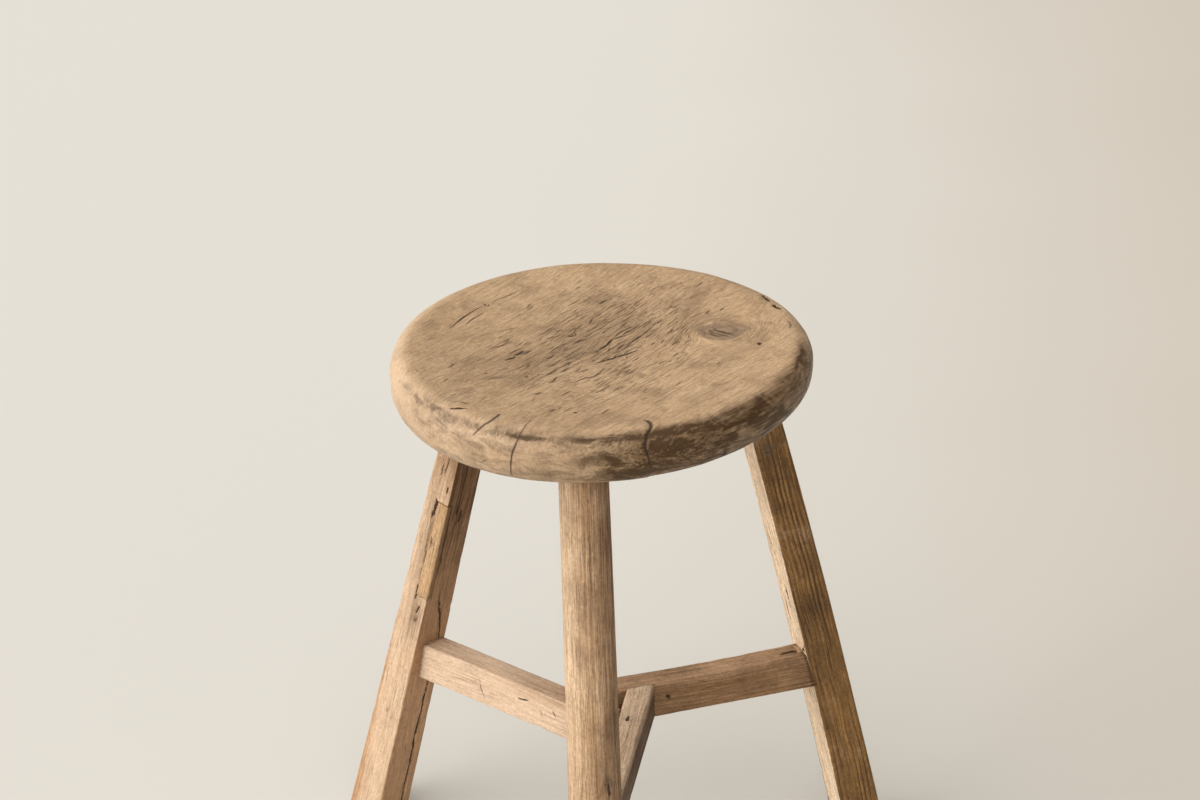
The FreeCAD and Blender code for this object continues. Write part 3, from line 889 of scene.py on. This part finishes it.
# ---- materials ----
class Shader:
    """Small helper that adds linked nodes to one material or world."""

    def __init__(self, owner):
        owner.use_nodes = True
        self.owner = owner
        self.tree = owner.node_tree

    def give(self, node, **sockets):
        """Sets or links the named inputs of one of the tree's first nodes."""
        for name, value in sockets.items():
            self.feed(self.tree.nodes[node].inputs[name.replace("_", " ")], value)

    def node(self, kind, inputs=None, **settings):
        made = self.tree.nodes.new(kind)
        for key, value in settings.items():
            setattr(made, key, value)
        for key, value in (inputs or {}).items():
            self.feed(made.inputs[key], value)
        return made

    def feed(self, socket, value):
        if isinstance(value, bpy.types.NodeSocket):
            self.tree.links.new(value, socket)
        else:
            socket.default_value = value

    def field(self, name, kind="Fac"):
        return self.node("ShaderNodeAttribute", attribute_name=name).outputs[kind]

    def parts(self, vector):
        return self.node("ShaderNodeSeparateXYZ", {0: vector}).outputs

    def math(self, operation, first, second=0.0, clamp=False):
        inputs = {0: first, 1: second}
        return self.node("ShaderNodeMath", inputs, operation=operation, use_clamp=clamp).outputs[0]

    def plus(self, first, second):
        return self.math("ADD", first, second)

    def minus(self, first, second):
        return self.math("SUBTRACT", first, second)

    def times(self, first, second, clamp=False):
        return self.math("MULTIPLY", first, second, clamp)

    def scaled(self, vector, scale, offset=(0, 0, 0)):
        inputs = {"Vector": vector, "Scale": scale, "Location": offset}
        return self.node("ShaderNodeMapping", inputs).outputs[0]

    def noise(self, vector, scale=1.0, detail=3.0, roughness=0.55, distortion=0.0):
        inputs = {"Vector": vector, "Scale": scale, "Detail": detail, "Roughness": roughness,
                  "Distortion": distortion}
        return self.node("ShaderNodeTexNoise", inputs).outputs["Fac"]

    def ramp(self, value, low, high, to_low=0.0, to_high=1.0):
        inputs = {"Value": value, "From Min": low, "From Max": high, "To Min": to_low,
                  "To Max": to_high}
        return self.node("ShaderNodeMapRange", inputs, interpolation_type="SMOOTHSTEP").outputs[0]

    def mix(self, share, first, second, blend="MIX"):
        inputs = {0: share, 6: first, 7: second}
        return self.node("ShaderNodeMix", inputs, data_type="RGBA", blend_type=blend).outputs[2]

    def bump(self, height, distance, strength):
        inputs = {"Strength": strength, "Distance": distance, "Height": height}
        return self.node("ShaderNodeBump", inputs).outputs[0]


def rgb(red, green, blue):
    """Linear colour from the usual 0 to 255 values."""
    values = [c / 255 for c in (red, green, blue)]
    linear = [c / 12.92 if c <= 0.04045 else ((c + 0.055) / 1.055) ** 2.4 for c in values]
    return tuple(linear) + (1.0,)


ONE_RING = 0.314          # wave scale that gives one ring per unit of length
KNOT_GREY = (0.20, 0.17, 0.14, 1.0)
CRACK_BROWN = (0.042, 0.020, 0.009, 1.0)


def wood(name, early, late, dark, pale, ring_gap, ring_share=0.5, streaks=0.5, pores=0.5,
         grime=0.3, checks=0.3, mottle=0.5, fibre_run=0.03, contrast=0.7,
         depth=0.0006, pith=(40.0, 25.0), roughness=0.68):
    """Old dry elm. The ring gap and the pith's place are in mm, fibre_run is the fibres'
    frequency along the grain, and depth is the relief's, in metres."""
    early, late, dark, pale = rgb(*early), rgb(*late), rgb(*dark), rgb(*pale)
    s = Shader(bpy.data.materials.new(name))
    grain = s.field("grain", "Vector")
    shade, pale_share, knot, worn = (s.field(n) for n in ("shade", "pale", "knot", "worn"))
    polished = s.field("polished")
    deepest = tuple(0.45 * c for c in dark[:3]) + (1,)

    # growth rings about a pith that lies beside the piece
    warped = s.scaled(grain, (0.006, 1 / ring_gap, 1 / ring_gap),
                      (0.0, pith[0] / ring_gap, pith[1] / ring_gap))
    wave = {"Vector": warped, "Scale": ONE_RING, "Distortion": 2.2, "Detail": 2.5,
            "Detail Scale": 0.6}
    rings = s.node("ShaderNodeTexWave", wave, wave_type="RINGS", rings_direction="X",
                   wave_profile="SAW")
    ring_line = s.ramp(rings.outputs["Fac"], 0.30, 0.95)
    patchy = s.ramp(s.noise(s.scaled(grain, (0.012, 0.09, 0.09)), 1.0, 3.0), 0.35, 0.68, 0.25, 1.0)
    ring_line = s.times(ring_line, patchy)

    streak = s.noise(s.scaled(grain, (0.016, 0.55, 0.55)), 1.0, 5.0, 0.62, 0.15)
    fibre = s.noise(s.scaled(grain, (fibre_run, 1.1, 1.1), (4.0, 2.0, 6.0)), 1.0, 5.0, 0.72)
    fine = s.noise(s.scaled(grain, (0.06, 2.6, 2.6)), 1.0, 3.0, 0.6)
    broad = s.noise(s.scaled(grain, (0.010, 0.035, 0.035), (3.0, 5.0, 2.0)), 1.0, 4.0)
    cloud = s.noise(grain, 0.030, 5.0, 0.62)
    grit = s.noise(grain, 0.42, 5.0, 0.66)

    colour = s.mix(s.times(ring_line, ring_share, True), early, late)
    colour = s.mix(s.times(s.ramp(streak, 0.36, 0.66), streaks, True), colour, late)
    colour = s.mix(s.times(s.ramp(broad, 0.3, 0.7), 0.35, True), colour, late)
    # painted light: the pale field lightens faces turned to the window and the seat's left rim,
    # besides bleached wood
    pale_mix = s.times(pale_share, s.ramp(streak, 0.75, 0.35, 0.45, 1.0), True)
    colour = s.mix(pale_mix, colour, pale)
    # painted shade: the shade field darkens faces turned from the window, places under the seat
    # and the seat's front crest, besides stains and darker wood
    shaded = s.times(shade, s.ramp(streak, 0.3, 0.7, 0.62, 1.2), True)
    colour = s.mix(shaded, colour, dark)
    soiled = s.ramp(pale_share, 0.2, 0.9, 1.0, 0.3)
    clouds = s.times(s.times(s.ramp(cloud, 0.46, 0.66), mottle), soiled)
    colour = s.mix(clouds, colour, dark)
    colour = s.mix(s.times(s.ramp(cloud, 0.47, 0.30), 0.5 * mottle, True), colour, pale)

    # fibres and grit: fine light and dark
    mixed = s.plus(s.times(fibre, 0.6), s.times(grit, 0.4))
    mixed = s.times(s.ramp(mixed, 0.38, 0.62, 0.30 * contrast, -0.36 * contrast),
                   s.ramp(polished, 0.0, 1.0, 1.0, 0.3))
    colour = s.mix(1.0, colour, s.plus(mixed, 1.0), "MULTIPLY")

    # handled edges: smears of dirt and patches rubbed clean
    smear = s.noise(s.scaled(s.field("rim", "Vector"), (0.035, 0.12, 0.05)), 1.0, 7.0, 0.68, 0.7)
    dirty = s.times(s.ramp(smear, 0.45, 0.62), polished)
    rubbed = s.times(s.ramp(smear, 0.47, 0.32), polished)
    # the smears grow with the shade field, so they deepen the painted shade on the rim's right as
    # well as its stains
    dirty = s.times(dirty, s.plus(s.times(shade, 1.4), 0.15), True)
    colour = s.mix(dirty, colour, dark)
    colour = s.mix(s.times(rubbed, 0.42), colour, late)

    # open pores: short dark dashes along the grain
    dash = s.noise(s.scaled(grain, (0.11, 2.3, 2.3), (1.0, 8.0, 4.0)), 1.0, 1.0, 0.5)
    dashes = s.times(s.ramp(dash, 0.60, 0.70), s.minus(pores, polished), True)
    colour = s.mix(dashes, colour, dark)

    # drying checks and torn grain in the worn places: many fine dashes and a few longer ones
    zone = s.ramp(s.noise(s.scaled(grain, (0.025, 0.05, 0.05), (2.0, 2.0, 0.0)), 1.0, 3.0),
                  0.34, 0.58, 0.15, 1.0)
    zone = s.times(zone, s.times(worn, checks))
    short = s.noise(s.scaled(grain, (0.11, 1.15, 1.15), (3.0, 6.0, 2.0)), 1.0, 3.0, 0.6, 0.15)
    check = s.noise(s.scaled(grain, (0.042, 0.72, 0.72), (7.0, 1.0, 9.0)), 1.0, 3.0, 0.55, 0.2)
    tears = s.times(s.ramp(short, 0.585, 0.625), zone, True)
    check_line = s.times(s.ramp(check, 0.600, 0.625), zone, True)
    colour = s.mix(s.times(tears, 0.55), colour, dark)
    colour = s.mix(s.times(check_line, 0.85), colour, dark)

    # knots: a dark rim, faint rings and a pitted middle
    knot_rings = s.ramp(s.math("SINE", s.times(knot, 17.0)), -0.2, 0.9, 0.46, 0.66)
    knot_body = s.ramp(s.plus(knot, s.times(grit, 0.6)), 1.38, 1.0)
    grey = s.mix(0.35, dark, KNOT_GREY)
    colour = s.mix(s.times(knot_body, knot_rings, True), colour, grey)
    pits = s.times(s.ramp(grit, 0.52, 0.62), s.ramp(knot, 0.75, 0.35))
    colour = s.mix(s.times(pits, 0.75), colour, deepest)

    # dust and old grime in blotches
    blotch = s.ramp(s.noise(grain, 0.055, 6.0, 0.66, 0.4), 0.54, 0.70)
    dirt = s.times(grime, soiled)
    colour = s.mix(s.times(blotch, dirt), colour, dark)
    fleck = s.ramp(s.noise(s.scaled(grain, (0.10, 0.30, 0.30)), 1.0, 3.0, 0.6), 0.69, 0.73)
    colour = s.mix(s.times(fleck, dirt), colour, deepest)

    # cracks, with ragged edges; the fine ones are fainter
    signed, half, gap = s.parts(s.field("crack", "Vector"))
    ragged = s.times(s.minus(grit, 0.5), 2.6)
    away = s.math("MAXIMUM", s.math("ABSOLUTE", signed), s.minus(gap, 0.8))
    inside = s.minus(s.times(half, s.plus(ragged, 1.0)), away)
    strength = s.ramp(half, 0.04, 0.65, 0.0, 0.92)
    open_crack = s.times(s.ramp(inside, -0.22, 0.14), strength)
    near_crack = s.times(s.ramp(inside, -0.9, 0.1), strength)
    colour = s.mix(s.times(near_crack, 0.5), colour, dark)
    colour = s.mix(open_crack, colour, CRACK_BROWN)

    relief = s.plus(s.times(streak, 0.8), s.times(fine, 0.3))
    relief = s.minus(relief, s.times(fibre, 0.9))
    relief = s.minus(relief, s.times(dashes, 0.5))
    relief = s.minus(relief, s.times(check_line, 1.8))
    relief = s.minus(relief, s.times(tears, 1.0))
    relief = s.minus(relief, s.times(open_crack, 2.0))
    relief = s.minus(relief, s.times(s.plus(grit, pits), 0.6))
    rough_share = s.ramp(polished, 0.0, 1.0, 1.0, 0.35)
    normal = s.bump(s.times(relief, rough_share), depth, 0.8)
    dull = s.plus(streak, s.times(grit, 0.5))
    dull = s.ramp(dull, 0.4, 1.0, roughness - 0.08, roughness + 0.14)
    dull = s.minus(dull, s.times(polished, 0.32))
    s.give("Principled BSDF", Base_Color=colour, Normal=normal, Roughness=dull,
           Specular_IOR_Level=0.34)
    return s.owner


# Looks of each wood: the colours of its early and late wood, its dirt and painted shade, and its
# bleached skin and painted light, as usual 0 to 255 values, and what differs from wood()'s own
# settings.
WOODS = {
    "seat_wood": dict(
        early=(195, 166, 132), late=(160, 128, 95), dark=(68, 45, 15), pale=(206, 180, 152),
        ring_gap=5.0, ring_share=0.3, streaks=0.4, pores=0.35, checks=1.0, mottle=0.26,
        fibre_run=0.09, contrast=0.5, depth=0.0011, pith=(30.0, -60.0), roughness=0.72),
    "left_leg_wood": dict(
        early=(196, 158, 122), late=(162, 120, 84), dark=(90, 61, 32), pale=(207, 184, 158),
        ring_gap=6.0, ring_share=0.35, streaks=0.4, pores=0.18, mottle=0.14, contrast=0.5),
    # its pale is brighter than bleached wood, to paint the window's light on the front face
    "right_leg_wood": dict(
        early=(184, 138, 80), late=(76, 52, 28), dark=(64, 44, 24), pale=(240, 214, 184),
        ring_gap=3.8, ring_share=1.0, streaks=0.35, mottle=0.3, contrast=0.9),
    "front_leg_wood": dict(
        early=(200, 168, 134), late=(154, 118, 82), dark=(92, 64, 40), pale=(220, 194, 163),
        ring_gap=4.2, streaks=0.7, mottle=0.38, contrast=0.66),
    "left_rail_wood": dict(
        early=(206, 176, 145), late=(174, 138, 106), dark=(116, 82, 54), pale=(212, 187, 163),
        ring_gap=5.0, ring_share=0.35, streaks=0.4, pores=0.25, mottle=0.12, contrast=0.55),
    "right_rail_wood": dict(
        early=(186, 148, 110), late=(132, 96, 62), dark=(84, 58, 34), pale=(206, 176, 146),
        ring_gap=4.0, ring_share=0.6, streaks=0.6, mottle=0.25),
    "front_rail_wood": dict(
        early=(208, 180, 150), late=(160, 128, 98), dark=(84, 58, 32), pale=(214, 190, 164),
        ring_gap=4.0, ring_share=0.4, mottle=0.35),
    "patch_wood": dict(
        early=(190, 158, 120), late=(158, 122, 84), dark=(92, 64, 34), pale=(206, 180, 148),
        ring_gap=2.6, ring_share=0.6, mottle=0.3),
    "shim_wood": dict(
        early=(196, 160, 120), late=(160, 122, 84), dark=(110, 80, 52), pale=(216, 186, 150),
        ring_gap=2.0, ring_share=0.3),
    "wedge_wood": dict(
        early=(190, 150, 108), late=(150, 110, 74), dark=(110, 80, 52), pale=(214, 184, 148),
        ring_gap=2.0, ring_share=0.3),
}
MATERIALS = {slot: wood(slot, **looks) for slot, looks in WOODS.items()}


# ---- stage, light and camera ----
CAMERA_PITCH = 26.476     # degrees below level
CAMERA_ROLL = -1.933
CAMERA_TURN = 4.6         # about the seat's axis
CAMERA_DISTANCE = 2.14555
CAMERA_AIM = (-0.000753, 0.0, -0.04916)   # right, away and up from the seat's crest
FOCAL_LENGTH = 85.0
SENSOR_WIDTH = 36.0


def place_camera():
    turn = Matrix.Rotation(math.radians(CAMERA_TURN), 3, "Z")
    pitch = math.radians(CAMERA_PITCH)
    forward = turn @ Vector((0, math.cos(pitch), -math.sin(pitch)))
    right = turn @ Vector((1, 0, 0))
    up = right.cross(forward)
    roll = Matrix.Rotation(-math.radians(CAMERA_ROLL), 3, forward)
    right, up = roll @ right, roll @ up
    seat = Vector((SEAT_CENTRE[0], SEAT_CENTRE[1], SEAT_TOP)) * MM
    place = seat + turn @ Vector(CAMERA_AIM) - forward * CAMERA_DISTANCE
    data = bpy.data.cameras.new("camera")
    data.lens = FOCAL_LENGTH
    data.sensor_width = SENSOR_WIDTH
    camera = bpy.data.objects.new("camera", data)
    camera.matrix_world = Matrix((
        (right.x, up.x, -forward.x, place.x),
        (right.y, up.y, -forward.y, place.y),
        (right.z, up.z, -forward.z, place.z),
        (0, 0, 0, 1)))
    bpy.context.scene.collection.objects.link(camera)
    bpy.context.scene.camera = camera


FLOOR_REACH = 14.0        # metres from the middle to each side
FLOOR_DROP = 0.0004       # keeps the floor clear of the feet
# painted light: the floor's colour runs from lighter on the left, under the window, to darker on
# the right
FLOOR_LIT_LEFT = (202, 201, 197)
FLOOR_SHADED_RIGHT = (184, 178, 169)


def add_stage():
    mesh = bpy.data.meshes.new("floor")
    corners = [(-1, -1), (1, -1), (1, 1), (-1, 1)]
    points = [(FLOOR_REACH * x, FLOOR_REACH * y, 0) for x, y in corners]
    mesh.from_pydata(points, [], [(0, 1, 2, 3)])
    floor = bpy.data.objects.new("floor", mesh)
    floor.location.z = -FLOOR_DROP
    bpy.context.scene.collection.objects.link(floor)
    s = Shader(bpy.data.materials.new("pale_floor"))
    place = s.node("ShaderNodeTexCoord").outputs["Object"]
    across = s.plus(s.parts(place)[0], s.times(s.noise(place, 1.2, 2.0), 0.3))
    # painted light across the floor, lighter to the left
    colour = s.mix(s.ramp(across, -0.1, 1.1), rgb(*FLOOR_LIT_LEFT), rgb(*FLOOR_SHADED_RIGHT))
    s.give("Principled BSDF", Base_Color=colour, Roughness=0.9)
    mesh.materials.append(s.owner)


ROOM_COLOUR = (1.0, 0.955, 0.89, 1.0)
ROOM_BRIGHT_SIDE = (-0.78, -0.36, 0.50)
ROOM_DIM, ROOM_BRIGHT = 0.08, 1.68        # strengths away from that side and on it
BACKDROP = 0.78                           # strength of what the camera sees of the room
WINDOW = 1.75
WINDOW_AIM = (0.87, 0.42, -0.32)
WINDOW_SPREAD = 50.0                      # degrees across, as seen from the stool
WINDOW_COLOUR = (1.0, 0.975, 0.94)


def add_light():
    """Daylight from a wide window on the left, and a room that is dimmer to the right."""
    world = bpy.data.worlds.new("room")
    bpy.context.scene.world = world
    s = Shader(world)
    way = s.node("ShaderNodeTexCoord").outputs["Generated"]
    facing = s.node("ShaderNodeVectorMath", {0: way, 1: ROOM_BRIGHT_SIDE}, operation="DOT_PRODUCT")
    glow = s.ramp(facing.outputs["Value"], -0.75, 0.95, ROOM_DIM, ROOM_BRIGHT)
    seen = s.node("ShaderNodeLightPath").outputs["Is Camera Ray"]
    choose = s.node("ShaderNodeMix", {0: seen, 2: glow, 3: BACKDROP})
    s.give("Background", Color=ROOM_COLOUR, Strength=choose.outputs[0])
    sun = bpy.data.lights.new("window", "SUN")
    sun.energy = WINDOW
    sun.color = WINDOW_COLOUR
    sun.angle = math.radians(WINDOW_SPREAD)
    window = bpy.data.objects.new("window", sun)
    window.rotation_euler = Vector(WINDOW_AIM).to_track_quat("-Z", "Y").to_euler()
    bpy.context.scene.collection.objects.link(window)


def main():
    bpy.context.scene.view_settings.view_transform = "Standard"
    seat_piece()
    squared_leg("left_leg", left_leg_tones, corner=1.5, seed=101)
    squared_leg("right_leg", right_leg_tones, corner=1.8, seed=131)
    front_leg_piece()
    patch_piece()
    rail_piece("left_rail", left_rail_tones, corner=1.4, sag=0.3, seed=161)
    rail_piece("right_rail", right_rail_tones, corner=1.8, sag=1.6, seed=171)
    rail_piece("front_rail", front_rail_tones, corner=2.2, sag=0.8, seed=181)
    for number, rail_name in enumerate(RAILS):
        slip_piece(rail_name, seed=191 + number)
    for leg in LEGS:
        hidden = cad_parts[leg + "_wedge"]
        hidden.data.materials.clear()
        hidden.data.materials.append(MATERIALS["wedge_wood"])
    add_stage()
    add_light()
    place_camera()


main()
